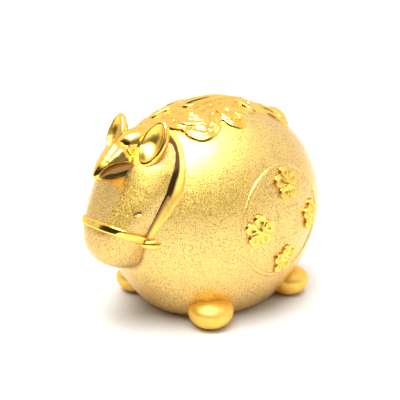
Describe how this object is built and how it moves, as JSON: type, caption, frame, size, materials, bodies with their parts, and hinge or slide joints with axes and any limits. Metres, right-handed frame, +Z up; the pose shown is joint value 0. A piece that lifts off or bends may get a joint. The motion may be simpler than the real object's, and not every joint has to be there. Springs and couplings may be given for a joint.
{
  "type": "ox coin bank",
  "caption": "Round ceramic money box in the shape of an ox, with a coin slot through the saddle cloth and a pull-out stopper in the belly.",
  "frame": {"origin": "on the ground under the middle of the bank's bounding box", "axes": "+Z up, the ox looks along -Y, its left side is +X"},
  "size_m": [0.1098, 0.1461, 0.1129],
  "materials": {
    "sand_gold": "gold electroplate over a sanded, grainy surface",
    "bright_gold": "mirror-bright gold electroplate over a smooth surface",
    "stopper_rubber": "matt, semi-clear white"
  },
  "bodies": {
    "bank": {"body_shell": "sand_gold", "coin_slot_frame": "bright_gold", "crown_lock": "bright_gold", "forelock": "bright_gold", "head": "sand_gold", "left_blossoms": "bright_gold", "left_bridle_knob": "bright_gold", "left_cheek_strap": "bright_gold", "left_coin_ring": "sand_gold", "left_coin_square": "sand_gold", "left_ear": "bright_gold", "left_eyelid": "sand_gold", "left_front_foot": "bright_gold", "left_rear_foot": "bright_gold", "left_side_lock": "bright_gold", "noseband": "bright_gold", "right_blossoms": "bright_gold", "right_bridle_knob": "bright_gold", "right_cheek_strap": "bright_gold", "right_coin_ring": "sand_gold", "right_coin_square": "sand_gold", "right_ear": "bright_gold", "right_eyelid": "sand_gold", "right_front_foot": "bright_gold", "right_rear_foot": "bright_gold", "right_side_lock": "bright_gold", "saddle_border": "bright_gold", "saddle_cloth": "bright_gold", "saddle_clouds": "bright_gold", "tail": "bright_gold"},
    "stopper": {"belly_stopper": "stopper_rubber"}
  },
  "joints": [
    {"name": "stopper_pull", "type": "slide", "parent": "bank", "child": "stopper", "axis": [0, 0, -1], "range_m": [0, 0.03]}
  ]
}
